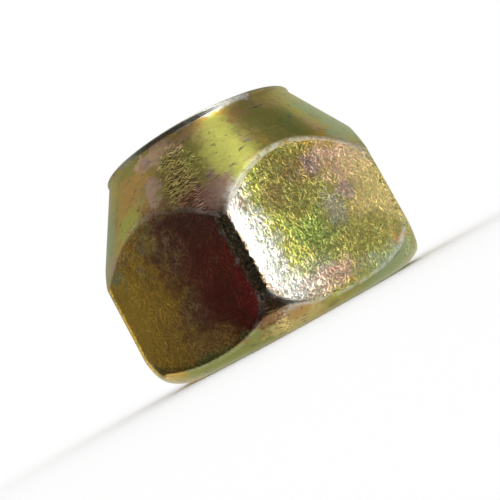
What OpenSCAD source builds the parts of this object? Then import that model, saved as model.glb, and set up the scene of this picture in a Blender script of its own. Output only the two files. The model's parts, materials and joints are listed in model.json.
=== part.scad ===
// Open-ended wheel lug nut, turned and milled from one piece of hexagon steel.
// The hexagon's upright corners are rounded, its lower end rolls under to a flat
// base, and its upper end is turned to a conical seat that centres the wheel and
// ends in a short straight land.
// A threaded hole runs right through, with a countersink at each end.
// The nut stands on its base: origin at the base's centre, +Z up the nut's axis
// towards the seat's small end, two of the six corners on the Y axis.

/* [Hexagon] */
// Width across two opposite flats
across_flats = 21; // [19:0.5:24]
// Rounding radius of the six upright corners
corner_round = 0.95; // [0.4:0.05:2]

/* [Seat] */
// Overall height, from the base to the seat's small end
height = 16.2; // [14:0.1:24]
// Angle between the conical seat and the nut's axis
seat_half_angle = 30; // [28:1:40]
// Metal between the thread's outer diameter and the land at the seat's small end
tip_wall = 1.91; // [1.2:0.01:2.4]
// Height of that straight land
tip_land = 0.4; // [0.25:0.05:1]
// Rounding radius of the land's upper edge
tip_round = 0.15; // [0.05:0.05:0.25]

/* [Base] */
// Radius that rolls the hexagon under to the flat base
base_round = 3.55; // [2:0.05:4.5]
// How far past the corners that radius would run, so that it meets them at an angle
base_overrun = 0.06; // [0.02:0.02:0.5]

/* [Thread] */
// Outer (nominal) diameter of the stud's thread
thread_d = 12; // [10:0.5:13]
// Pitch of the stud's thread
thread_pitch = 1.5; // [1:0.25:2]
// How much wider than the stud each countersink's mouth is
sink_clearance = 0.7; // [0.4:0.1:1]
// Angle between a countersink's side and the nut's axis
sink_half_angle = 45; // [30:5:60]

/* [Hidden] */
$fn = 96;

flat_count = 6;
flat_step = 360 / flat_count;
overcut = 1;
// A corner's circle stands this far proud of the two flats that it blends into,
// so that the outlines cross and leave no sliver
blend_cross = 0.0005;

// Hexagon: centres of the corner roundings, and the radius over the corners
corner_center_r = (across_flats / 2 - corner_round) / cos(flat_step / 2);
corner_r = corner_center_r + corner_round;
blank_r = corner_r + overcut;

// Seat: the land at its small end, and its height where it leaves the blank
tip_r = thread_d / 2 + tip_wall;
land_foot_z = height - tip_land;
seat_foot_z = land_foot_z - (blank_r - tip_r) / tan(seat_half_angle);

// Centre of the rounding along the land's upper edge
tip_center_r = tip_r - tip_round;
tip_center_z = height - tip_round;

// Base: radius of the flat face that the base rounding leaves
base_face_r = corner_r + base_overrun - base_round;

// Internal thread: an ISO thread's crests stand 5/8 of its sharp height inside
thread_crest_r = thread_d / 2 - 5 / 8 * cos(30) * thread_pitch;
sink_mouth_r = (thread_d + sink_clearance) / 2;
sink_depth = (sink_mouth_r - thread_crest_r) / tan(sink_half_angle);

// Outline of the bar: a hexagon whose corners are true arcs
module hexagon_outline() {
    polygon([
        for (corner = [0 : flat_count - 1], side = [-1, 1])
            let (facing = 90 + corner * flat_step, touch = facing + side * flat_step / 2)
                corner_center_r * [cos(facing), sin(facing)]
                    + corner_round * [cos(touch), sin(touch)]
    ]);
    for (corner = [0 : flat_count - 1])
        rotate(90 + corner * flat_step)
            translate([corner_center_r, 0])
                circle(r = corner_round + blend_cross);
}

// Half section below the cone seat: the blank with its base rolled under
module base_section() {
    polygon([
        [0, 0],
        [base_face_r, 0],
        [base_face_r, base_round],
        [blank_r, base_round],
        [blank_r, height],
        [0, height]
    ]);
    translate([base_face_r, base_round])
        circle(r = base_round);
}

// Half section inside the cone seat and the land that ends it
module seat_section() {
    polygon([
        [0, 0],
        [blank_r, 0],
        [blank_r, seat_foot_z],
        [tip_r, land_foot_z],
        [tip_r, tip_center_z],
        [tip_center_r, tip_center_z],
        [tip_center_r, height],
        [0, height]
    ]);
    translate([tip_center_r, tip_center_z])
        circle(r = tip_round);
}

// Half section of the turned envelope: what the seat and the base both leave
module turned_section() {
    intersection() {
        base_section();
        seat_section();
    }
}

// Half section of the hole: thread core with a countersink at both ends
module hole_section() {
    mouth_over = overcut * tan(sink_half_angle);
    polygon([
        [0, -overcut],
        [sink_mouth_r + mouth_over, -overcut],
        [thread_crest_r, sink_depth],
        [thread_crest_r, height - sink_depth],
        [sink_mouth_r + mouth_over, height + overcut],
        [0, height + overcut]
    ]);
}

module nut() {
    color([0.72, 0.62, 0.30])
        difference() {
            intersection() {
                linear_extrude(height = height)
                    hexagon_outline();
                rotate_extrude()
                    turned_section();
            }
            rotate_extrude()
                hole_section();
        }
}

nut();
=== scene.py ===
import json
import math

import bmesh
import bpy
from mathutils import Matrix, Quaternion, Vector


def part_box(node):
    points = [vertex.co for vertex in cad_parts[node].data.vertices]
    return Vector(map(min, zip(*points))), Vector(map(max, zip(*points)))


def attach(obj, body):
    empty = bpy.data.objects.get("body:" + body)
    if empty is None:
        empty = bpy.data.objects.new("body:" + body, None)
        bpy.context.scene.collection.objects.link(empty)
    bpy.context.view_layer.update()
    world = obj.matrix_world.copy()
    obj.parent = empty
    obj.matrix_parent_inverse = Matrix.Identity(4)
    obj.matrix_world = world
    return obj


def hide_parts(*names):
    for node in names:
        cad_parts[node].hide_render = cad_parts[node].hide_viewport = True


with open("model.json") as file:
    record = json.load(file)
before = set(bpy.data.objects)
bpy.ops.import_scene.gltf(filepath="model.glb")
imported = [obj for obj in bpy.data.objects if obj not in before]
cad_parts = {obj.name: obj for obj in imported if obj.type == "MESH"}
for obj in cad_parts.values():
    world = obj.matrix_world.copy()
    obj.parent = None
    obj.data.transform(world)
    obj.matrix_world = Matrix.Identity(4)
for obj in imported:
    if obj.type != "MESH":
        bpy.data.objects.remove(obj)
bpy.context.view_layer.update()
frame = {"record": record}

# Looks of an open-ended wheel lug nut. Its mesh is modelled in millimetres and
# brought to metres at the end, standing on its base with +Z towards the seat.
MM = 0.001

# Sizes that the frame gives
_, node_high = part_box("nut")
HALF_FLATS = node_high.x / MM
HEIGHT = node_high.z / MM
stud_thread = next(m for m in frame["record"]["mounts"] if m["name"] == "stud_thread")
THREAD_CREST_R = stud_thread["dims"]["r_mm"]

# Hexagon: six rounded corners, the first one on +Y
CORNERS = 6
CORNER_STEP = math.tau / CORNERS
CORNER_ROUND = 0.95
CORNER_CENTER_R = (HALF_FLATS - CORNER_ROUND) / math.cos(CORNER_STEP / 2)
CORNER_R = CORNER_CENTER_R + CORNER_ROUND

# Conical seat, and the straight land with its rounded edge at the seat's small end
SEAT_ANGLE = math.radians(30)
TIP_R = 7.91
TIP_LAND = 0.4
LAND_Z = HEIGHT - TIP_LAND
TIP_ROUND = 0.15
TIP_CENTER_R = TIP_R - TIP_ROUND
TIP_CENTER_Z = HEIGHT - TIP_ROUND

# Base: the radius that rolls the hexagon under, how far past the corners it would
# run, and the flat face that it leaves
BASE_ROUND = 3.55
BASE_OVERRUN = 0.06
BASE_FACE_R = CORNER_R + BASE_OVERRUN - BASE_ROUND

# Internal thread, right-handed, and the countersink at each end of the hole, whose
# mouth has its edge broken
THREAD_ROOT_R = 6.0
THREAD_PITCH = 1.5
THREAD_FLANK_ANGLE = math.radians(30)
SINK_MOUTH_R = 6.35
SINK_ANGLE = math.radians(45)
MOUTH_BREAK = 0.08
MOUTH_MIDDLE = 0.3 * MOUTH_BREAK

# Mesh of the outside: columns round the hexagon, rows up each part of it, how far the
# shoulders and the foot of the land are softened, and the rows that hold flat what
# lies beside them
CORNER_SEGMENTS = 8
FLAT_SEGMENTS = 40
FLAT_ROWS = 9
SEAT_ROWS = 8
RIM_ROWS = 6
BASE_ROWS = 12
SHOULDER_SOFTNESS = 0.20
SHOULDER_SEGMENTS = 4
SHOULDER_SUPPORT = 0.50
LAND_SOFTNESS = 0.04
FACE_SUPPORT = 0.06

# Mesh of the thread: steps round a turn, cuts along each side of its outline, and the
# turns that it starts below the base and ends above the small end
THREAD_STEPS = 96
THREAD_CUTS = 3
TURNS_BELOW = 2
TURNS_ABOVE = 1

# How near vertices are merged, how near a cut they count as on it, and the angle from
# which an edge shows sharp
MERGE_DIST = 0.004
CUT_DIST = 0.001
SHARP_ANGLE = math.radians(35)

# Steps from the countersink out to the flat end face: radius, and depth below it
MOUTH_STEPS = [
    (SINK_MOUTH_R - MOUTH_BREAK, MOUTH_BREAK),
    (SINK_MOUTH_R + MOUTH_MIDDLE, MOUTH_MIDDLE),
    (SINK_MOUTH_R + MOUTH_BREAK, 0.0),
    (SINK_MOUTH_R + MOUTH_BREAK + FACE_SUPPORT, 0.0),
]


# ---------------------------------------------------------------- the nut's mesh

def hexagon_radius(angle):
    """Distance from the axis to the rounded hexagon's outline in one direction."""
    from_flat = (angle - math.pi / 2 + CORNER_STEP / 2) % CORNER_STEP
    off_corner = abs(from_flat - CORNER_STEP / 2)
    touch_y = CORNER_ROUND * math.sin(CORNER_STEP / 2)
    touch_x = CORNER_CENTER_R + CORNER_ROUND * math.cos(CORNER_STEP / 2)
    if off_corner >= math.atan2(touch_y, touch_x):
        return HALF_FLATS / math.cos(CORNER_STEP / 2 - off_corner)
    aside = CORNER_CENTER_R * math.sin(off_corner)
    along = CORNER_CENTER_R * math.cos(off_corner)
    return along + math.sqrt(CORNER_ROUND ** 2 - aside ** 2)


def lower_shoulder(outline_r):
    """Height at which the base rounding runs out into a side of the hexagon."""
    return BASE_ROUND - math.sqrt(BASE_ROUND ** 2 - (outline_r - BASE_FACE_R) ** 2)


def upper_shoulder(outline_r):
    """Height at which the conical seat runs out into a side of the hexagon."""
    return LAND_Z - (outline_r - TIP_R) / math.tan(SEAT_ANGLE)


def blend(start, end, share):
    """A number part way from start to end."""
    return start + (end - start) * share


def side_stations():
    """Rows up the hexagon's sides, each a function from outline radius to (r, z)."""
    def at(share):
        def station(r):
            low = lower_shoulder(r) + SHOULDER_SUPPORT
            high = upper_shoulder(r) - SHOULDER_SUPPORT
            return r, blend(low, high, share)
        return station

    return [at(row / FLAT_ROWS) for row in range(FLAT_ROWS + 1)]


def seat_stations():
    """Rows up the conical seat, up the land and over its edge to the flat end."""
    lean_in, lean_up = math.sin(SEAT_ANGLE), math.cos(SEAT_ANGLE)

    def at(share):
        def station(r):
            return (
                blend(r - SHOULDER_SUPPORT * lean_in, TIP_R + LAND_SOFTNESS * lean_in, share),
                blend(upper_shoulder(r) + SHOULDER_SUPPORT * lean_up,
                      LAND_Z - LAND_SOFTNESS * lean_up, share),
            )
        return station

    def on_rim(tilt):
        rim_r = TIP_CENTER_R + TIP_ROUND * math.cos(tilt)
        rim_z = TIP_CENTER_Z + TIP_ROUND * math.sin(tilt)
        return lambda r: (rim_r, rim_z)

    seat = [at(row / SEAT_ROWS) for row in range(SEAT_ROWS + 1)]
    land_foot = [lambda r: (TIP_R, LAND_Z + LAND_SOFTNESS)]
    rim = [on_rim(math.pi / 2 * row / RIM_ROWS) for row in range(RIM_ROWS + 1)]
    return seat + land_foot + rim + [lambda r: (TIP_CENTER_R - FACE_SUPPORT, HEIGHT)]


def base_stations():
    """Rows down the base rounding to the flat base."""
    def at(share):
        def station(r):
            lean = math.asin((r - BASE_FACE_R) / BASE_ROUND)
            lean = blend(lean - SHOULDER_SUPPORT / BASE_ROUND, 0.0, share)
            return (
                BASE_FACE_R + BASE_ROUND * math.sin(lean),
                BASE_ROUND - BASE_ROUND * math.cos(lean),
            )
        return station

    rounding = [at(row / BASE_ROWS) for row in range(BASE_ROWS + 1)]
    return rounding + [lambda r: (BASE_FACE_R - FACE_SUPPORT, 0.0)]


def place(vert, station):
    """Moves a vertex along its own direction from the axis, on to a station."""
    angle = math.atan2(vert.co.y, vert.co.x)
    r, z = station(hexagon_radius(angle))
    vert.co = Vector((r * math.cos(angle), r * math.sin(angle), z))


def grow(bm, ring, stations):
    """Extrudes a closed ring of edges through the stations. Returns the last ring."""
    for station in stations:
        grown = bmesh.ops.extrude_edge_only(bm, edges=ring)["geom"]
        for vert in (g for g in grown if isinstance(g, bmesh.types.BMVert)):
            place(vert, station)
        ring = [g for g in grown if isinstance(g, bmesh.types.BMEdge)]
    return ring


def hexagon_ring(bm):
    """The hexagon's outline as a closed ring of edges, its corners true arcs."""
    sharp_r = HALF_FLATS / math.cos(CORNER_STEP / 2)
    circle = bmesh.ops.create_circle(bm, cap_ends=True, segments=CORNERS, radius=sharp_r)
    rounded = bmesh.ops.bevel(
        bm, geom=circle["verts"], offset=CORNER_ROUND * math.tan(CORNER_STEP / 2),
        offset_type="OFFSET", segments=CORNER_SEGMENTS, profile=0.5,
        affect="VERTICES", material=-1)
    verts = rounded["verts"]
    for vert in verts:
        place(vert, lambda r: (r, 0.0))
    face = verts[0].link_faces[0]
    edges = list(face.edges)
    bmesh.ops.delete(bm, geom=[face], context="FACES_ONLY")
    # the steps of the corners' arcs are much shorter than this, the sides much longer
    sides = [e for e in edges if e.calc_length() > CORNER_ROUND * 2]
    cut = bmesh.ops.subdivide_edges(bm, edges=sides, cuts=FLAT_SEGMENTS - 1)
    ring = {g for g in cut["geom_split"] if isinstance(g, bmesh.types.BMEdge)}
    ring |= {e for e in edges if e.is_valid}
    return [e for e in bm.edges if e in ring]


def add_shell(bm):
    """The outside of the nut. Returns its open rings, at the small end and the base."""
    lower = hexagon_ring(bm)
    for vert in {v for e in lower for v in e.verts}:
        place(vert, lambda r: (r, lower_shoulder(r)))
    side_top = grow(bm, lower, side_stations())
    upper = grow(bm, side_top, [lambda r: (r, upper_shoulder(r))])
    tip_ring = grow(bm, upper, seat_stations())
    base_ring = grow(bm, lower, base_stations())
    bmesh.ops.bevel(
        bm, geom=lower + upper, offset=SHOULDER_SOFTNESS, offset_type="OFFSET",
        segments=SHOULDER_SEGMENTS, profile=0.5, affect="EDGES", material=-1)
    return tip_ring, base_ring


def sink_r(z):
    """Radius at this height of the countersink at the nearer end."""
    depth = min(z, HEIGHT - z)
    return SINK_MOUTH_R - depth * math.tan(SINK_ANGLE)


def thread_turn(bm):
    """One turn of the thread: a pitch of its outline, swept once round a helix."""
    crest = THREAD_PITCH / 4
    flank = (THREAD_ROOT_R - THREAD_CREST_R) * math.tan(THREAD_FLANK_ANGLE)
    root = THREAD_PITCH - crest - 2 * flank
    start = -TURNS_BELOW * THREAD_PITCH
    heights = [0, crest, crest + flank, crest + flank + root, THREAD_PITCH]
    radii = [THREAD_CREST_R, THREAD_CREST_R, THREAD_ROOT_R, THREAD_ROOT_R, THREAD_CREST_R]
    verts = [bm.verts.new((r, 0, start + z)) for r, z in zip(radii, heights)]
    edges = [bm.edges.new(pair) for pair in zip(verts, verts[1:])]
    bmesh.ops.subdivide_edges(bm, edges=edges, cuts=THREAD_CUTS)
    bmesh.ops.spin(
        bm, geom=bm.verts[:] + bm.edges[:], cent=(0, 0, 0), axis=(0, 0, 1),
        dvec=(0, 0, THREAD_PITCH / THREAD_STEPS), angle=math.tau,
        steps=THREAD_STEPS, use_merge=False, use_duplicate=False)


def stack_turns(bm):
    """Doubles the stack of turns until it reaches past both ends of the nut."""
    reach = HEIGHT + (TURNS_BELOW + TURNS_ABOVE) * THREAD_PITCH
    turns = 1
    while turns * THREAD_PITCH < reach:
        bmesh.ops.remove_doubles(bm, verts=bm.verts[:], dist=MERGE_DIST)
        stack = bm.verts[:] + bm.edges[:] + bm.faces[:]
        copied = bmesh.ops.duplicate(bm, geom=stack)["geom"]
        raised = [g for g in copied if isinstance(g, bmesh.types.BMVert)]
        bmesh.ops.translate(bm, vec=(0, 0, turns * THREAD_PITCH), verts=raised)
        turns *= 2
    bmesh.ops.remove_doubles(bm, verts=bm.verts[:], dist=MERGE_DIST)


def run_out_thread(bm):
    """Cuts the stack to length and widens its ends to the countersinks."""
    cut_depth = (SINK_MOUTH_R - THREAD_ROOT_R) / math.tan(SINK_ANGLE)
    for z, up in ((HEIGHT - cut_depth, 1), (cut_depth, -1)):
        bmesh.ops.bisect_plane(
            bm, geom=bm.verts[:] + bm.edges[:] + bm.faces[:], dist=CUT_DIST,
            plane_co=(0, 0, z), plane_no=(0, 0, up), clear_outer=True)
    for vert in bm.verts:
        vert.co.xy *= max(1.0, sink_r(vert.co.z) / vert.co.xy.length)


def mouth_station(r, depth, top):
    """A round station at one end of the hole, whatever the hexagon's outline."""
    return lambda outline_r: (r, HEIGHT - depth if top else depth)


def add_hole(bm):
    """The threaded hole. Returns its open rings, at the small end and the base."""
    thread_turn(bm)
    stack_turns(bm)
    run_out_thread(bm)
    rims = [e for e in bm.edges if e.is_boundary]
    rings = []
    for top in (True, False):
        rim = [e for e in rims if (e.verts[0].co.z > HEIGHT / 2) == top]
        stations = [mouth_station(r, depth, top) for r, depth in MOUTH_STEPS]
        rings.append(grow(bm, rim, stations))
    return rings


def as_object(bm, name):
    """Turns a bmesh into an object in the scene, at the origin."""
    mesh = bpy.data.meshes.new(name)
    bm.to_mesh(mesh)
    bm.free()
    piece = bpy.data.objects.new(name, mesh)
    bpy.context.scene.collection.objects.link(piece)
    return piece


def build_nut():
    """The whole nut as one closed mesh, in metres."""
    bm = bmesh.new()
    top_mouth, base_mouth = add_hole(bm)
    tip_ring, base_ring = add_shell(bm)
    for outer, mouth, up in ((tip_ring, top_mouth, 1), (base_ring, base_mouth, -1)):
        bmesh.ops.triangle_fill(
            bm, edges=outer + mouth, use_beauty=True, use_dissolve=False,
            normal=(0, 0, up))
    bmesh.ops.recalc_face_normals(bm, faces=bm.faces[:])
    for face in bm.faces:
        face.smooth = True
    for edge in bm.edges:
        edge.smooth = edge.calc_face_angle(0.0) < SHARP_ANGLE
    bmesh.ops.scale(bm, vec=(MM, MM, MM), verts=bm.verts[:])
    return as_object(bm, "lug_nut")


# ---------------------------------------------------------------- material tools

# Outputs and sockets that are found by their number
OBJECT_OUTPUT = 3
GLOSSY_RAY_OUTPUT = 3
COLOR_RESULT = 2
FIRST_COLOR, SECOND_COLOR = 6, 7


class Value:
    """A number, colour or shader in a material. Arithmetic on numbers adds Math nodes."""

    def __init__(self, finish, socket):
        self.finish = finish
        self.socket = socket

    def __add__(self, other):
        return self.finish.math("ADD", self, other)

    def __sub__(self, other):
        return self.finish.math("SUBTRACT", self, other)

    def __rsub__(self, other):
        return self.finish.math("SUBTRACT", other, self)

    def __mul__(self, other):
        return self.finish.math("MULTIPLY", self, other)

    def __truediv__(self, other):
        return self.finish.math("DIVIDE", self, other)

    def __rtruediv__(self, other):
        return self.finish.math("DIVIDE", other, self)

    def __pow__(self, other):
        return self.finish.math("POWER", self, other)

    __radd__ = __add__
    __rmul__ = __mul__


class Finish:
    """A material, built up from node to node."""

    def __init__(self, owner):
        owner.use_nodes = True
        self.tree = owner.node_tree

    def add(self, kind, settings, sockets):
        """Adds any node: its settings first, then its sockets. Returns its outputs."""
        node = self.tree.nodes.new(kind)
        for name, setting in settings.items():
            if name == "stops":
                self.set_stops(node.color_ramp, setting)
            else:
                setattr(node, name, setting)
        self.feed(node, sockets)
        return [Value(self, output) for output in node.outputs]

    def feed(self, node, sockets):
        """Sets or links a node's sockets, which are given by name or by number."""
        for key, value in sockets.items():
            if isinstance(value, Value):
                self.tree.links.new(value.socket, node.inputs[key])
            else:
                node.inputs[key].default_value = value

    def show(self, shader):
        """Makes a shader the surface of the material."""
        self.feed(self.tree.nodes["Material Output"], {"Surface": shader})

    def set_stops(self, ramp, stops):
        while len(ramp.elements) < len(stops):
            ramp.elements.new(1.0)
        for element, (position, color) in zip(ramp.elements, stops):
            element.position = position
            element.color = (*color, 1.0)

    def math(self, operation, *values):
        return self.add("ShaderNodeMath", {"operation": operation}, dict(enumerate(values)))[0]

    def vector(self, operation, *values):
        settings = {"operation": operation}
        outputs = self.add("ShaderNodeVectorMath", settings, dict(enumerate(values)))
        return outputs[1 if operation in ("LENGTH", "DISTANCE", "DOT_PRODUCT") else 0]

    def split(self, vector):
        return self.add("ShaderNodeSeparateXYZ", {}, {0: vector})

    def join(self, x, y, z):
        return self.add("ShaderNodeCombineXYZ", {}, {0: x, 1: y, 2: z})[0]

    def object_mm(self):
        """The point on the object, in millimetres."""
        at = self.add("ShaderNodeTexCoord", {}, {})[OBJECT_OUTPUT]
        return self.vector("MULTIPLY", at, (1 / MM, 1 / MM, 1 / MM))

    def times(self, vector, number):
        """A vector or colour multiplied by a number."""
        return self.vector("MULTIPLY", vector, self.join(number, number, number))

    def smooth(self, value, start, end):
        """0 before start and 1 past end, with a soft step between. Start may be higher."""
        settings = {"interpolation_type": "SMOOTHSTEP"}
        sockets = {"Value": value, "From Min": start, "From Max": end}
        return self.add("ShaderNodeMapRange", settings, sockets)[0]

    def spread(self, value, low, high, to_low, to_high):
        """Goes evenly from to_low, at low or before it, to to_high, at high or past it."""
        sockets = {
            "Value": value, "From Min": low, "From Max": high,
            "To Min": to_low, "To Max": to_high,
        }
        return self.add("ShaderNodeMapRange", {"clamp": True}, sockets)[0]

    def noise(self, at, scale, detail=2.0, roughness=0.5, distortion=0.0):
        """Returns the noise as a number and as three of them in a colour."""
        sockets = {
            "Vector": at, "Scale": scale, "Detail": detail,
            "Roughness": roughness, "Distortion": distortion,
        }
        return self.add("ShaderNodeTexNoise", {}, sockets)

    def blend(self, share, first, second):
        """A colour part way from the first to the second, which is a plain colour."""
        settings = {"data_type": "RGBA", "blend_type": "MIX", "clamp_factor": True}
        sockets = {0: share, FIRST_COLOR: first, SECOND_COLOR: (*second, 1.0)}
        return self.add("ShaderNodeMix", settings, sockets)[COLOR_RESULT]

    def ramp(self, value, stops):
        return self.add("ShaderNodeValToRGB", {"stops": stops}, {0: value})[0]


# ---------------------------------------------------------------- yellow zinc plating

# The colours that the chromate film takes as its thickness changes. A few of them also serve
# as painted reflection or shade, as marked below.
GOLD = (0.50, 0.40, 0.14)
OCHRE = (0.58, 0.35, 0.058)
ORANGE = (0.56, 0.33, 0.10)
BROWN = (0.32, 0.20, 0.09)
# partly the film's own colour, partly painted reflection of dark red surroundings
MAROON = (0.195, 0.045, 0.030)
RED = (0.36, 0.05, 0.045)
OLIVE = (0.33, 0.30, 0.08)
LIME = (0.48, 0.48, 0.11)
GREEN = (0.19, 0.26, 0.06)
SAGE = (0.36, 0.42, 0.24)
ROSE = (0.56, 0.37, 0.28)
MAUVE = (0.36, 0.24, 0.29)
GREY = (0.42, 0.42, 0.36)
PALE = (0.78, 0.77, 0.70)
MOSS = (0.33, 0.36, 0.11)
# painted shade for the dark reflection along the front corner
CORNER_SHADE = (0.19, 0.155, 0.085)
UMBER = (0.24, 0.11, 0.065)
# a deep maroon: partly the film's own colour, partly painted reflection of dark red
# surroundings
DEEP_MAROON = (0.13, 0.055, 0.040)
AMBER = (0.76, 0.48, 0.085)
BLUSH = (0.72, 0.48, 0.30)
STRAW = (0.68, 0.54, 0.21)
DUSK = (0.40, 0.23, 0.17)

# Its dark flecks and nicks, and the darker film inside the hole, which is painted shade
DARK_METAL = (0.12, 0.12, 0.09)
BORE_SHADE_GOLD = (0.30, 0.24, 0.09)

# The film's tint in light that only glances off it
GLANCE = (0.82, 0.84, 0.63)

# A noise's mean, and that of its colour
NOISE_MEAN = 0.5
NOISE_MEANS = (0.5, 0.5, 0.5)

# Noises over the nut: scale per millimetre, detail, roughness and distortion
GROUND_NOISE = (0.16, 4.0, 0.6)
CLOUD_NOISE = (0.26, 6.0, 0.68)
OTHER_CLOUD_NOISE = (0.34, 6.0, 0.68)
SLOW_EDGE_NOISE = (0.6, 3.0, 0.6)
QUICK_EDGE_NOISE = (2.1, 6.0, 0.75)
WARP_NOISE = (1.6, 3.0)
SPECKLE_NOISE = (5.5, 3.0, 0.65)
RAGGED_NOISE = (1.2, 5.0, 0.7)
PATCHY_NOISE = (0.55, 3.0)
FLECK_NOISE = (1.0, 5.0, 0.75)
NICK_NOISE = (1.1, 4.0, 0.65, 0.9)
WORN_NOISE = (2.0, 5.0, 0.75)
WAVE_NOISE = (0.9, 2.0)
RING_NOISE = (1.0, 3.0, 0.7)

# The film's ground colour, by its noise, and how far off the second cloud noise lies
GROUND = [(0.38, OCHRE), (0.50, GOLD), (0.64, OLIVE)]
CLOUD_SHIFT = (41.0, 7.0, 23.0)

# Soft patches all over: the noise at which each begins and is full, colour, share
CLOUDS = [
    (0.54, 0.66, LIME, 0.7),
    (0.56, 0.66, ROSE, 0.75),
    (0.56, 0.70, OLIVE, 0.8),
    (0.60, 0.66, MAUVE, 0.6),
    (0.58, 0.70, SAGE, 0.7),
    (0.60, 0.70, BROWN, 0.6),
]

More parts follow.
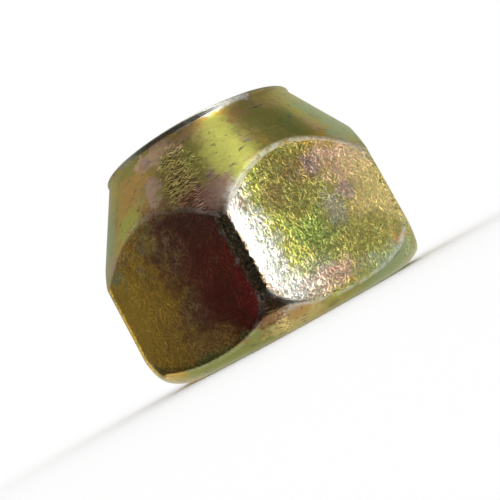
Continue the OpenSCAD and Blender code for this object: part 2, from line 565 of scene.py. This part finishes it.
# Stains of the film on the outside, with a few patches of painted light or shade
# among them: centre and half sizes in millimetres, colour, share, and how soft the
# outline is. A later one lies over the ones before it.
STAINS_AND_PAINTED_LIGHT = [
    # the flat to the left of the front corner
    ((-8.0, -7.6, 5.0), (4.4, 4.0, 6.6), OCHRE, 1.0, 0.3),
    ((-6.2, -8.6, 3.0), (1.8, 1.8, 2.0), ORANGE, 0.50, 0.5),
    # the next five darken this flat towards the front corner in maroon and red: partly the
    # film's own colour, partly painted reflection of dark red surroundings
    ((-2.6, -10.8, 6.6), (4.5, 4.5, 7.0), UMBER, 1.0, 0.6),
    ((-1.5, -11.4, 5.4), (3.4, 3.4, 4.9), MAROON, 0.95, 0.6),
    ((-2.0, -11.2, 2.6), (2.9, 2.9, 2.4), MAROON, 0.95, 0.35),
    ((-1.9, -11.2, 9.4), (2.8, 2.8, 2.2), DEEP_MAROON, 0.8, 0.6),
    ((-0.9, -11.7, 3.6), (0.7, 0.7, 2.6), RED, 0.75, 0.5),
    ((-5.0, -9.3, 1.7), (2.6, 2.6, 1.1), ORANGE, 0.7, 0.5),
    ((-8.4, -7.2, 9.6), (1.1, 1.1, 0.7), BROWN, 0.4, 0.4),
    ((-9.6, -6.6, 5.0), (2.6, 2.6, 5.2), AMBER, 0.8, 0.8),
    # the flat to its right
    ((2.6, -10.7, 5.6), (2.4, 2.4, 5.6), LIME, 0.95, 0.25),
    ((4.7, -9.4, 4.9), (1.8, 1.8, 3.2), GREEN, 0.85, 0.7),
    ((4.6, -9.5, 7.8), (2.6, 2.6, 2.2), OLIVE, 0.85, 0.3),
    ((3.3, -10.2, 8.4), (1.0, 1.0, 1.0), BROWN, 0.5, 0.3),
    ((4.9, -9.3, 10.0), (2.2, 2.2, 1.2), OLIVE, 0.9, 0.3),
    ((5.8, -8.8, 9.2), (1.3, 1.3, 1.1), BROWN, 0.6, 0.4),
    ((6.6, -8.3, 9.2), (1.0, 1.0, 0.9), MAUVE, 0.5, 0.5),
    ((8.6, -7.1, 8.4), (2.2, 2.2, 1.8), BLUSH, 0.9, 0.35),
    ((9.2, -6.8, 5.4), (1.9, 1.9, 3.0), STRAW, 0.8, 0.5),
    ((7.7, -7.6, 6.5), (0.6, 0.6, 0.7), MAUVE, 0.5, 0.4),
    ((6.4, -8.4, 5.6), (0.8, 0.8, 1.3), GREY, 0.5, 0.5),
    ((3.8, -10.0, 1.8), (3.0, 3.0, 1.0), ROSE, 0.8, 0.35),
    ((3.4, -10.2, 3.0), (1.4, 1.4, 0.9), GREY, 0.35, 0.45),
    ((7.2, -7.9, 3.2), (2.4, 2.4, 1.6), OLIVE, 0.92, 0.3),
    ((9.5, -6.6, 1.9), (0.8, 0.8, 0.6), ORANGE, 0.9, 0.3),
    # a pale streak down this flat beside the front corner: a painted highlight
    ((1.1, -11.5, 5.2), (1.3, 1.3, 6.4), PALE, 0.8, 0.5),
    ((2.0, -11.0, 1.9), (1.5, 1.5, 1.1), PALE, 0.30, 0.4),
    # the front corner, darkened along its ridge: painted shade standing for a dark reflection
    ((-0.1, -12.2, 5.4), (0.60, 0.75, 5.4), CORNER_SHADE, 0.9, 0.15),
    # the seat, from left to right
    ((-4.4, -7.2, 15.2), (3.4, 2.0, 0.9), OLIVE, 0.8, 0.3),
    ((-2.4, -8.2, 14.9), (2.5, 2.5, 1.1), BLUSH, 0.85, 0.15),
    ((-3.6, -7.9, 15.0), (0.7, 0.7, 0.5), MAUVE, 0.5, 0.3),
    ((-5.4, -7.6, 13.8), (2.2, 2.2, 1.5), ORANGE, 0.9, 0.15),
    ((-3.6, -9.0, 12.6), (0.8, 0.8, 1.5), ROSE, 0.9, 0.2),
    ((-1.9, -9.8, 12.8), (1.7, 2.6, 2.4), OLIVE, 0.8, 0.3),
    ((-1.4, -9.9, 12.6), (1.8, 2.6, 2.6), BROWN, 0.45, 0.4),
    ((-6.6, -7.9, 11.8), (1.4, 1.4, 0.9), LIME, 0.9, 0.2),
    ((-9.4, -4.6, 12.4), (2.0, 3.0, 4.0), SAGE, 0.9, 0.4),
    ((-9.3, -6.4, 10.0), (1.1, 1.1, 0.6), ROSE, 0.7, 0.3),
    ((0.2, -11.0, 10.3), (1.4, 1.4, 1.2), DUSK, 0.8, 0.35),
    ((-1.5, -10.8, 10.8), (1.1, 0.9, 0.6), UMBER, 0.8, 0.4),
    ((0.0, -9.6, 13.6), (1.1, 1.4, 2.8), OLIVE, 0.9, 0.3),
    ((-0.2, -8.4, 15.3), (1.3, 1.4, 0.7), BROWN, 0.7, 0.3),
    ((2.2, -9.3, 12.9), (1.7, 2.6, 4.0), LIME, 0.9, 0.25),
    ((4.2, -7.6, 14.9), (1.2, 1.4, 1.2), BROWN, 0.6, 0.3),
    ((5.4, -8.0, 13.0), (1.8, 1.8, 2.6), OLIVE, 0.9, 0.3),
    ((7.0, -7.2, 12.2), (1.1, 1.1, 2.0), GREEN, 0.55, 0.35),
    ((8.0, -5.4, 13.2), (1.0, 1.4, 2.2), LIME, 0.6, 0.3),
    ((9.8, -4.2, 12.4), (2.2, 3.0, 4.6), SAGE, 1.0, 0.4),
    # the land and the base
    ((0.0, -8.0, 16.2), (9.0, 9.0, 0.45), GREY, 0.8, 0.3),
    ((2.7, -7.4, 16.1), (2.6, 2.4, 0.5), PALE, 0.85, 0.3),
    ((-5.0, -9.0, 0.4), (5.4, 5.4, 1.0), MOSS, 0.9, 0.3),
    ((0.6, -10.6, 0.5), (2.4, 2.4, 0.8), STRAW, 0.9, 0.3),
    ((1.2, -10.6, 1.1), (1.0, 1.0, 0.5), ORANGE, 0.8, 0.3),
    ((0.0, -11.7, 1.9), (1.2, 1.2, 0.9), BROWN, 0.9, 0.3),
    ((7.4, -7.6, 0.7), (4.0, 4.0, 1.0), MOSS, 0.9, 0.3),
    ((8.6, -6.8, 0.9), (3.2, 3.2, 1.3), SAGE, 0.8, 0.4),
]

# Crossed scratches: for each layer the spacing of its cells, which hold one scratch
# each, and half its length and half its width, in millimetres
SCRATCH_LAYERS = [
    (0.62, 0.64, 0.066),
    (0.45, 0.47, 0.052),
    (0.33, 0.33, 0.043),
    (0.23, 0.22, 0.036),
]

# How scratches vary: how far they bend, how much shorter some are than others, how
# much brighter, and how far the slow noise moves them, in millimetres
BEND = 0.7
LONGEST, SHORTER = 0.75, 0.9
FAINTEST, BRIGHTER = 0.25, 1.2
WARP = 0.7

# How far apart in their pattern the layers lie, so that no two are the same
LAYER_SHIFT = (31.7, 17.3)

# Range of directions, in radians, and how much narrower it is on the seat
LEAN_SPREAD, SEAT_NEATER = 2.2, 1.5

# Where a stain's outline lies, as a share of its half sizes, and how far it wanders
STAIN_EDGE = 0.9
EDGE_WANDER = 2.0

# The brushed patch on the seat: its centre and half sizes, and how soft it is
BRUSHED = ((-1.5, -9.9, 12.5), (1.5, 3.2, 3.2))
BRUSHED_SOFTNESS = 0.45

# Parts of the nut, by the gap to them, or by height or radius for the last two, all in
# millimetres: at the first number a point is off the part, at the second it is on it
ON_FLAT = (0.10, 0.02)
ON_TURNED = (0.15, 0.02)
ON_END = (0.05, 0.01)
AT_UPPER_EDGE = (0.16, 0.05)
AT_LOWER_EDGE = (0.20, 0.05)
AT_RIDGE = (0.65, 0.35)
IN_BASE = (BASE_ROUND, BASE_ROUND - 0.5)
OUT_OF_BORE = (SINK_MOUTH_R, SINK_MOUTH_R + 0.2)

# How far patterns are drawn out along turned surfaces: per millimetre of height on the
# seat, and per millimetre in from the corners under the base
SEAT_STRETCH = 0.155
BASE_STRETCH = 1.2

# Shares that change from one x to another: the scratches are calmer at both sides, and
# on the left the grain is finer and the edges are less rubbed
CALM_LEFT = (-9.0, -4.0, 0.55, 1.0)
CALM_RIGHT = (6.0, 9.0, 1.0, 0.65)
FINE_LEFT = (-2.0, 0.5, 0.45, 1.0)
LESS_RUBBED_LEFT = (-2.0, 1.5, 0.3, 1.0)

# The share of the flats' scratches that changes from one level of its noise to another
PATCHY = (0.40, 0.60, 0.35, 1.0)

# How strongly each place is scratched, and how coarse its grain is
SCRATCHED = {"worked_flat": 1.0, "brushed": 1.3, "ridge": 0.5, "seat": 0.12}
PLAIN_GRAIN = 0.25
COARSER = {"coarse_flat": 0.8, "brushed": 0.5, "ridge": 1.2, "rubbed": 0.8}

# Dark flecks on the flats and nicks elsewhere: how the noise is squeezed along each
# axis, where in it they begin and are full, and how dark they are
FLECK_SQUEEZE, FLECK_STEP, FLECK_SHARE = (2.6, 2.6, 1.4), (0.56, 0.63), 0.55
NICK_SQUEEZE, NICK_STEP, NICK_SHARE = (1.0, 1.0, 2.9), (0.60, 0.65), 0.7

# Pale worn metal along the rubbed edges: where in its noise it begins and is full, and
# its share; and the share of the painted shade in the hole
WORN_STEP, WORN_SHARE = (0.36, 0.60), 0.6
BORE_SHADE_SHARE = 0.6

# Tones: the darkest, between scratches, the brightest, on them, and how strong a
# scratch takes it; what the flats and the brushed patch change in those; and the tone
# and tint of the grain. The lighter tone on the scratches is partly painted glint.
DARKEST, BRIGHTEST, FULL_SCRATCH = 0.85, 1.60, 0.7
FLAT_DARKER, BRUSHED_DARKER, BRUSHED_BRIGHTER = 0.10, 0.45, 0.4
GRAIN_TONE, RIDGE_GRAIN_TONE, GRAIN_TINT = 0.9, 1.5, 0.75

# Roughness of the film, and what each place adds to it
FILM_ROUGHNESS = 0.18
ROUGHER = {"seat": 0.10, "rubbed": 0.16, "fleck": 0.12, "bore": 0.1, "end": 0.16}

# Relief in millimetres: scratches, what the brushed patch adds to them, grain, slow
# waves, nicks, and the turning rings on the ends, with how many noise steps to a
# millimetre those have
SCRATCH_RELIEF, BRUSHED_RELIEF = 0.008, 0.010
GRAIN_RELIEF, WAVE_RELIEF = 0.010, 0.02
NICK_DEPTH, RING_RELIEF, RING_SCALE = 0.006, 0.006, 7.0

# The fall of each flat towards its upright corners: its width and depth, and the
# heights between which it fades at its top and at its foot
FALL_WIDTH, FALL_DEPTH = 1.6, 0.075
FALL_TOP, FALL_FOOT = (9.8, 8.0), (2.0, 3.6)


class Surface:
    """Where a point lies on the nut, and its share, from 0 to 1, in each part of it."""

    def __init__(self, f):
        self.at = f.object_mm()
        self.x, self.y, self.z = f.split(self.at)
        self.r = (self.x * self.x + self.y * self.y) ** 0.5
        self.outside = f.smooth(self.r, *OUT_OF_BORE)
        self.bore = 1 - self.outside
        self.find_flats(f)
        self.find_turned_faces(f)
        self.find_edges(f)

    def find_flats(self, f):
        """The flats, and the place round the hexagon as measured along them."""
        angle = f.math("ARCTAN2", self.y, self.x)
        side = f.math("ROUND", angle / CORNER_STEP)
        off = angle - side * CORNER_STEP
        side_length = 2 * HALF_FLATS * math.tan(CORNER_STEP / 2)
        along = f.math("TANGENT", off) * HALF_FLATS
        self.round = along + side * side_length
        self.from_corner = side_length / 2 - f.math("ABSOLUTE", along)
        self.flat_gap = HALF_FLATS - self.r * f.math("COSINE", off)
        self.flat = f.smooth(self.flat_gap, *ON_FLAT)

    def find_turned_faces(self, f):
        """The seat, the base rounding and the flat ends, and the place up the surface."""
        drop = (LAND_Z - self.z) - (self.r - TIP_R) * (1 / math.tan(SEAT_ANGLE))
        self.seat_gap = drop * math.sin(SEAT_ANGLE)
        self.seat = f.smooth(self.seat_gap, *ON_TURNED) * self.outside
        foot = f.join(self.r - BASE_FACE_R, self.z - BASE_ROUND, 0.0)
        self.base_gap = BASE_ROUND - f.vector("LENGTH", foot)
        self.low = f.smooth(self.z, *IN_BASE)
        self.base = f.smooth(self.base_gap, *ON_TURNED) * self.low * self.outside
        end_gap = f.math("MINIMUM", self.z, HEIGHT - self.z)
        self.end = f.smooth(end_gap, *ON_END) * self.outside
        up_seat = self.seat * self.z * SEAT_STRETCH
        self.up = self.z + up_seat + self.base * (self.r - CORNER_R) * BASE_STRETCH

    def find_edges(self, f):
        """The edges above and below the flats, and the ridge of each upright corner."""
        self.upper_edge = f.smooth(self.flat_gap + self.seat_gap, *AT_UPPER_EDGE)
        self.lower_edge = f.smooth(self.flat_gap + self.base_gap, *AT_LOWER_EDGE) * self.low
        self.ridge = f.smooth(self.from_corner, *AT_RIDGE) * (1 - self.seat)

    def weigh(self, plain, weights):
        """A plain number, with so much added in each part or mark that is named."""
        total = plain
        for name, weight in weights.items():
            total = getattr(self, name) * weight + total
        return total


def oval_share(f, at, middle, reach, edge, soft):
    """1 inside an oval round a middle, 0 outside it. Edge moves its outline about."""
    gap = f.vector("SUBTRACT", at, middle)
    gap = f.vector("MULTIPLY", gap, tuple(1 / size for size in reach))
    return f.smooth(f.vector("LENGTH", gap) + edge, STAIN_EDGE + soft, STAIN_EDGE - soft)


def scratch_layer(f, at, layer, lean, spread):
    """One layer of short scratches, each lying its own way within the spread."""
    spacing, half_length, half_width = layer
    sockets = {"Vector": at, "Scale": 1 / spacing, "Randomness": 1.0}
    settings = {"voronoi_dimensions": "2D", "feature": "F1"}
    _, chance, middle, _, _ = f.add("ShaderNodeTexVoronoi", settings, sockets)
    gap_x, gap_y, _ = f.split(f.vector("SUBTRACT", at, middle))
    turn_chance, bright_chance, bend_chance = f.split(chance)
    turn = (turn_chance - NOISE_MEAN) * spread + lean
    cosine, sine = f.math("COSINE", turn), f.math("SINE", turn)
    along = (gap_x * cosine + gap_y * sine) / half_length
    along = along * (bright_chance * SHORTER + LONGEST)
    bend = (bend_chance - NOISE_MEAN) * BEND
    across = (gap_y * cosine - gap_x * sine) / half_width + bend * along * along
    body = f.math("MAXIMUM", 1 - across * across, 0.0)
    ends = f.math("MAXIMUM", 1 - along * along, 0.0)
    return body * ends * (bend_chance * bright_chance * BRIGHTER + FAINTEST)


def scratches(f, nut):
    """The crossed scratches of all the layers: upright on flats, level on the seat."""
    lean = (1 - nut.seat) * (math.pi / 2)
    spread = LEAN_SPREAD - nut.seat * SEAT_NEATER
    warp = f.vector("SUBTRACT", f.noise(nut.at, *WARP_NOISE)[1], NOISE_MEANS)
    warp_x, warp_y, _ = f.split(warp)
    shift_x, shift_y = LAYER_SHIFT
    total = 0.0
    for count, layer in enumerate(SCRATCH_LAYERS):
        x = nut.round + warp_x * WARP + count * shift_x
        y = nut.up + warp_y * WARP + count * shift_y
        marks = scratch_layer(f, f.join(x, y, 0.0), layer, lean, spread)
        total = f.math("MAXIMUM", total, marks)
    return total


def find_marks(f, nut):
    """Adds the marks of making and use to a surface: scratches, grain, nicks and wear."""
    nut.speckle, nut.speckle_color = f.noise(nut.at, *SPECKLE_NOISE)
    ragged = (f.noise(nut.at, *RAGGED_NOISE)[0] - NOISE_MEAN) * EDGE_WANDER
    nut.brushed = oval_share(f, nut.at, *BRUSHED, ragged, BRUSHED_SOFTNESS) * nut.seat
    calm = f.spread(nut.x, *CALM_LEFT) * f.spread(nut.x, *CALM_RIGHT)
    patchy = f.spread(f.noise(nut.at, *PATCHY_NOISE)[0], *PATCHY)
    nut.worked_flat = nut.flat * patchy * calm
    nut.coarse_flat = nut.flat * f.spread(nut.x, *FINE_LEFT) * calm
    edges = f.math("MAXIMUM", nut.upper_edge, nut.lower_edge)
    nut.rubbed = edges * f.spread(nut.x, *LESS_RUBBED_LEFT)
    nut.scratch = scratches(f, nut) * nut.weigh(0.0, SCRATCHED)
    nut.grain = nut.weigh(PLAIN_GRAIN, COARSER)
    upright = f.noise(f.vector("MULTIPLY", nut.at, FLECK_SQUEEZE), *FLECK_NOISE)[0]
    nut.fleck = f.smooth(upright, *FLECK_STEP) * nut.coarse_flat
    lying = f.noise(f.vector("MULTIPLY", nut.at, NICK_SQUEEZE), *NICK_NOISE)[0]
    nut.nick = f.smooth(lying, *NICK_STEP) * (1 - nut.flat)
    nut.worn = f.smooth(f.noise(nut.at, *WORN_NOISE)[0], *WORN_STEP) * nut.rubbed


def clouded(f, nut):
    """The film's ground colour, with soft patches of each other colour over it."""
    color = f.ramp(f.noise(nut.at, *GROUND_NOISE)[0], GROUND)
    patches = f.split(f.noise(nut.at, *CLOUD_NOISE)[1])
    shifted = f.vector("ADD", nut.at, CLOUD_SHIFT)
    patches += f.split(f.noise(shifted, *OTHER_CLOUD_NOISE)[1])
    for patch, (start, end, tint, share) in zip(patches, CLOUDS):
        color = f.blend(f.smooth(patch, start, end) * share, color, tint)
    return color


def lay_stains_and_painted_light(f, nut, color):
    """Lays each stain, or patch of painted light or shade, over a colour, its outline ragged
    and speckled.
    """
    slow = f.split(f.noise(nut.at, *SLOW_EDGE_NOISE)[1])
    quick = f.split(f.noise(nut.at, *QUICK_EDGE_NOISE)[1])
    for count, (middle, reach, overlay, share, soft) in enumerate(STAINS_AND_PAINTED_LIGHT):
        edge = slow[count % 3] + quick[(count + 1) % 3] - 2 * NOISE_MEAN
        covered = oval_share(f, nut.at, middle, reach, edge * EDGE_WANDER, soft)
        color = f.blend(covered * share, color, overlay)
    return color


def toned(f, nut, color):
    """Lightens, darkens and tints a colour along the scratches and by the grain. The
    lightening on the scratches is partly painted glint.
    """
    darkest = DARKEST - nut.flat * FLAT_DARKER - nut.brushed * BRUSHED_DARKER
    brightest = nut.brushed * BRUSHED_BRIGHTER + BRIGHTEST
    # the lighter tone along the scratches is partly painted glint
    shade = f.spread(nut.scratch, 0.0, FULL_SCRATCH, darkest, brightest)
    grain_tone = nut.ridge * RIDGE_GRAIN_TONE + GRAIN_TONE
    mottle = (nut.speckle - NOISE_MEAN) * nut.grain * grain_tone + 1.0
    tint = f.vector("SUBTRACT", nut.speckle_color, NOISE_MEANS)
    tint = f.vector("ADD", f.times(tint, nut.grain * GRAIN_TINT), (1.0, 1.0, 1.0))
    return f.vector("MULTIPLY", f.times(color, shade * mottle), tint)


def worn_and_shaded_color(f, nut, color):
    """Darkens a colour in flecks and nicks, pales it where the edges are rubbed, and darkens
    it inside the hole as painted shade.
    """
    dark_share = nut.fleck * FLECK_SHARE + nut.nick * NICK_SHARE
    color = f.blend(dark_share, color, DARK_METAL)
    color = f.blend(nut.worn * WORN_SHARE, color, PALE)
    # painted shade inside the hole
    return f.blend(nut.bore * BORE_SHADE_SHARE, color, BORE_SHADE_GOLD)


def relief(f, nut):
    """The height of the surface above the plain shape of the mesh, in millimetres."""
    scratch = nut.scratch * (nut.brushed * BRUSHED_RELIEF + SCRATCH_RELIEF)
    grain = nut.speckle * nut.grain * GRAIN_RELIEF
    waves = f.noise(nut.at, *WAVE_NOISE)[0] * WAVE_RELIEF
    rings = f.noise(f.join(nut.r * RING_SCALE, 0.0, 0.0), *RING_NOISE)[0] * nut.end
    fall = f.math("MAXIMUM", 1 - nut.from_corner / FALL_WIDTH, 0.0)
    middle = f.smooth(nut.z, *FALL_TOP) * f.smooth(nut.z, *FALL_FOOT)
    height = scratch + grain + waves + rings * RING_RELIEF
    return height - nut.nick * NICK_DEPTH - fall * fall * middle * FALL_DEPTH


def yellow_zinc():
    """Steel with a yellow chromate zinc plating, a little worn along its edges."""
    material = bpy.data.materials.new("yellow_zinc")
    f = Finish(material)
    nut = Surface(f)
    find_marks(f, nut)
    film_and_painted_light = lay_stains_and_painted_light(f, nut, clouded(f, nut))
    height = relief(f, nut)
    bump = f.add("ShaderNodeBump", {}, {"Strength": 1.0, "Distance": MM, "Height": height})
    f.feed(f.tree.nodes["Principled BSDF"], {
        "Base Color": worn_and_shaded_color(f, nut, toned(f, nut, film_and_painted_light)),
        "Roughness": nut.weigh(FILM_ROUGHNESS, ROUGHER),
        "Metallic": 1.0,
        "Specular Tint": (*GLANCE, 1.0),
        "Normal": bump[0],
    })
    return material


# ---------------------------------------------------------------- stage, light, camera

# Panels of the light tent, by the direction in which the nut sees them: their edges
# in degrees round from the front and in degrees up, how soft those are, and how
# bright the panel is. White is 1, and a later panel lies over the ones before it.
TENT_RADIUS = 0.5
TENT_ROUNDNESS = 5
TENT_PANELS = [
    ((-190, -120), (-20, 60), 20, 0.72),
    ((120, 175), (-20, 60), 20, 0.82),
    ((-200, -105), (8, 60), 14, 0.60),
    ((-105, -66), (14, 80), 12, 0.60),
    ((-70, 34), (-30, 95), 6, 0.08),
    ((-66, 10), (48, 95), 10, 0.36),
    ((-100, -57), (-30, 18), 16, 0.27),
    ((66, 128), (18, 75), 10, 0.33),
    ((50, 61), (-30, 20), 3, 0.20),
    ((4, 56), (60, 90), 10, 1.15),
    ((34, 48.5), (-30, 12), 3, 9.5),
    ((34, 48.5), (40, 62), 3, 7.0),
]

# The dark card on the floor: its edges in degrees round from the front, how far from
# the axis and how high it lies, in millimetres, how bright it is, and its steps round
CARD_SWEEP = (-84, 34)
CARD_REACH = (12.2, 400)
CARD_RISE = 0.3
CARD_LEVEL = 0.08
CARD_STEPS = 32

# The white floor: its half size in metres, and its own glow in reflections
FLOOR_HALF = 3.0
FLOOR_GLOW = 0.62

# The camera: where it is and what it looks at, how far it is rolled, its lens in
# millimetres, and how near it sees, in metres
EYE = Vector((5.065, -65.313, 1.503)) * MM
AIM = Vector((-0.572, -0.027, 6.765)) * MM
ROLL = math.radians(28.73)
LENS = 61.45
NEAREST = 0.002


def tent_level(f, round_about, up):
    """How bright the tent is in one direction."""
    level = 1.0
    for (left, right), (low, high), soft, panel in TENT_PANELS:
        half = soft / 2
        inside = f.smooth(round_about, left - half, left + half)
        inside = inside * f.smooth(round_about, right + half, right - half)
        inside = inside * f.smooth(up, low - half, low + half)
        inside = inside * f.smooth(up, high + half, high - half)
        level = inside * (panel - level) + level
    return level


def only_reflected(thing):
    """Leaves an object to be seen in reflections only. It lights and shades nothing."""
    thing.visible_camera = False
    thing.visible_diffuse = False
    thing.visible_transmission = False
    thing.visible_volume_scatter = False
    thing.visible_shadow = False


def add_tent():
    """A light tent that only the plating reflects: white, with grey and bright panels."""
    bm = bmesh.new()
    bmesh.ops.create_icosphere(bm, subdivisions=TENT_ROUNDNESS, radius=TENT_RADIUS)
    tent = as_object(bm, "light_tent")
    material = bpy.data.materials.new("tent_panels")
    f = Finish(material)
    x, y, z = f.split(f.object_mm())
    degrees = 180 / math.pi
    round_about = f.math("ARCTAN2", x, 0 - y) * degrees
    up = f.math("ARCTAN2", z, (x * x + y * y) ** 0.5) * degrees
    level = tent_level(f, round_about, up)
    sockets = {"Color": f.join(level, level, level), "Strength": 1.0}
    f.show(f.add("ShaderNodeEmission", {}, sockets)[0])
    tent.data.materials.append(material)
    only_reflected(tent)


def add_dark_card():
    """A dark card lying on the floor in front, which only the plating reflects."""
    bm = bmesh.new()
    left, right = (math.radians(edge) for edge in CARD_SWEEP)
    facing = Vector((math.sin(left), -math.cos(left), 0))
    near, far = (facing * reach * MM for reach in CARD_REACH)
    lift = Vector((0, 0, CARD_RISE * MM))
    bm.edges.new([bm.verts.new(near + lift), bm.verts.new(far + lift)])
    bmesh.ops.spin(
        bm, geom=bm.verts[:] + bm.edges[:], cent=(0, 0, 0), axis=(0, 0, 1),
        angle=right - left, steps=CARD_STEPS, use_merge=False, use_duplicate=False)
    card = as_object(bm, "dark_card")
    material = bpy.data.materials.new("card_black")
    f = Finish(material)
    sockets = {"Color": (1, 1, 1, 1), "Strength": CARD_LEVEL}
    f.show(f.add("ShaderNodeEmission", {}, sockets)[0])
    card.data.materials.append(material)
    only_reflected(card)


def add_camera():
    """The camera, rolled so that the nut leans in its view."""
    data = bpy.data.cameras.new("camera")
    data.lens = LENS
    data.clip_start = NEAREST
    camera = bpy.data.objects.new("camera", data)
    bpy.context.scene.collection.objects.link(camera)
    camera.location = EYE
    facing = (AIM - EYE).to_track_quat("-Z", "Y")
    camera.rotation_mode = "QUATERNION"
    camera.rotation_quaternion = facing @ Quaternion((0, 0, 1), -ROLL)
    bpy.context.scene.camera = camera


def add_floor():
    """A plain white floor, which also glows a little where the plating reflects it."""
    bm = bmesh.new()
    bmesh.ops.create_grid(bm, x_segments=1, y_segments=1, size=FLOOR_HALF)
    floor = as_object(bm, "floor")
    material = bpy.data.materials.new("floor_white")
    f = Finish(material)
    paper = f.tree.nodes["Principled BSDF"]
    f.feed(paper, {
        "Base Color": (1.0, 1.0, 1.0, 1.0), "Roughness": 1.0, "Specular IOR Level": 0.0,
    })
    glossy = f.add("ShaderNodeLightPath", {}, {})[GLOSSY_RAY_OUTPUT]
    glow = f.add("ShaderNodeEmission", {}, {"Color": (1, 1, 1, 1), "Strength": 1.0})[0]
    sockets = {0: glossy * FLOOR_GLOW, 1: Value(f, paper.outputs[0]), 2: glow}
    f.show(f.add("ShaderNodeMixShader", {}, sockets)[0])
    floor.data.materials.append(material)


def add_world():
    """Plain white light from all round."""
    world = bpy.data.worlds.new("studio")
    bpy.context.scene.world = world
    world.use_nodes = True
    background = world.node_tree.nodes["Background"]
    background.inputs["Color"].default_value = (1, 1, 1, 1)
    background.inputs["Strength"].default_value = 1.0


bpy.context.scene.view_settings.view_transform = "Standard"
nut = build_nut()
nut.data.materials.append(yellow_zinc())
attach(nut, "root")
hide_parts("nut")
add_floor()
add_world()
add_tent()
add_dark_card()
add_camera()
